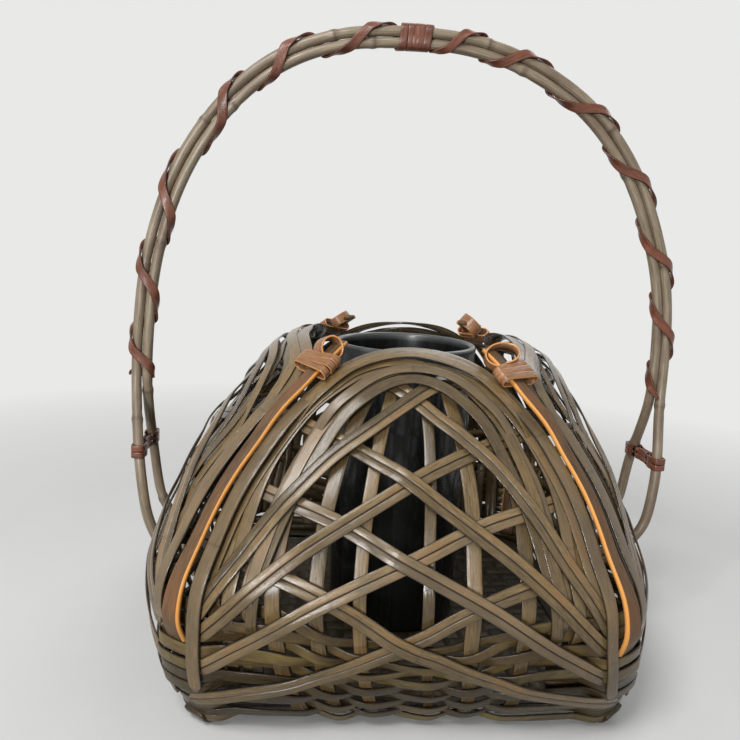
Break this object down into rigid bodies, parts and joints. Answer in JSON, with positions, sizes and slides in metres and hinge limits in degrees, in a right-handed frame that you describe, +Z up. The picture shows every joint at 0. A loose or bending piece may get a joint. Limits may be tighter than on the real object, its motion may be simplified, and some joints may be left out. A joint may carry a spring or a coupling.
{
  "type": "ikebana basket",
  "caption": "Woven split-bamboo flower basket with a square base, a narrow mouth, a tall arched handle and a lift-out tube for water.",
  "frame": {"origin": "centre of the base, where the corner feet meet the table", "axes": "+Z up along the body, X along the span of the handle, -Y the side in the picture"},
  "size_m": [0.2651, 0.2244, 0.2856],
  "materials": {
    "strip": "aged split bamboo, taupe to olive brown, satin",
    "weft": "aged split bamboo, dark olive, satin",
    "strap": "aged split bamboo with a bright cut edge, satin",
    "tie": "copper-brown bamboo band, satin",
    "rod": "thin bamboo cane, satin",
    "wrap": "red-brown split cane, satin",
    "mat": "dark thin bamboo mat, matte",
    "tube": "black lacquered bamboo tube, glossy"
  },
  "bodies": {
    "basket": {"arc_front_right_low": "strip", "arc_front_right_middle": "strip", "arc_front_right_high": "strip", "arc_front_right_top": "strip", "arc_back_right_low": "strip", "arc_back_right_middle": "strip", "arc_back_right_high": "strip", "arc_back_right_top": "strip", "arc_back_left_low": "strip", "arc_back_left_middle": "strip", "arc_back_left_high": "strip", "arc_back_left_top": "strip", "arc_front_left_low": "strip", "arc_front_left_middle": "strip", "arc_front_left_high": "strip", "arc_front_left_top": "strip", "arch_front_outer": "strip", "arch_front_middle": "strip", "arch_front_inner": "strip", "arch_right_outer": "strip", "arch_right_middle": "strip", "arch_right_inner": "strip", "arch_back_outer": "strip", "arch_back_middle": "strip", "arch_back_inner": "strip", "arch_left_outer": "strip", "arch_left_middle": "strip", "arch_left_inner": "strip", "stake_front_back_1": "strip", "stake_front_back_2": "strip", "stake_front_back_3": "strip", "stake_front_back_4": "strip", "stake_front_back_5": "strip", "stake_front_back_6": "strip", "stake_side_side_1": "strip", "stake_side_side_2": "strip", "stake_side_side_3": "strip", "stake_side_side_4": "strip", "stake_side_side_5": "strip", "stake_side_side_6": "strip", "weft_row_1": "weft", "weft_row_2": "weft", "weft_row_3": "weft", "weft_row_4": "weft", "weft_row_5": "weft", "base_mat": "mat", "corner_strap_front_right": "strap", "corner_strap_back_right": "strap", "corner_strap_back_left": "strap", "corner_strap_front_left": "strap", "corner_tie_front_right": "tie", "corner_tie_back_right": "tie", "corner_tie_back_left": "tie", "corner_tie_front_left": "tie", "handle_rod_front": "rod", "handle_rod_rear": "rod", "handle_wrap": "wrap", "handle_tie_left": "wrap", "handle_tie_right": "wrap"},
    "water_tube": {"water_tube": "tube"}
  },
  "joints": [
    {"name": "tube_lift", "type": "slide", "parent": "basket", "child": "water_tube", "axis": [0, 0, 1], "range_m": [0, 0.12]}
  ]
}
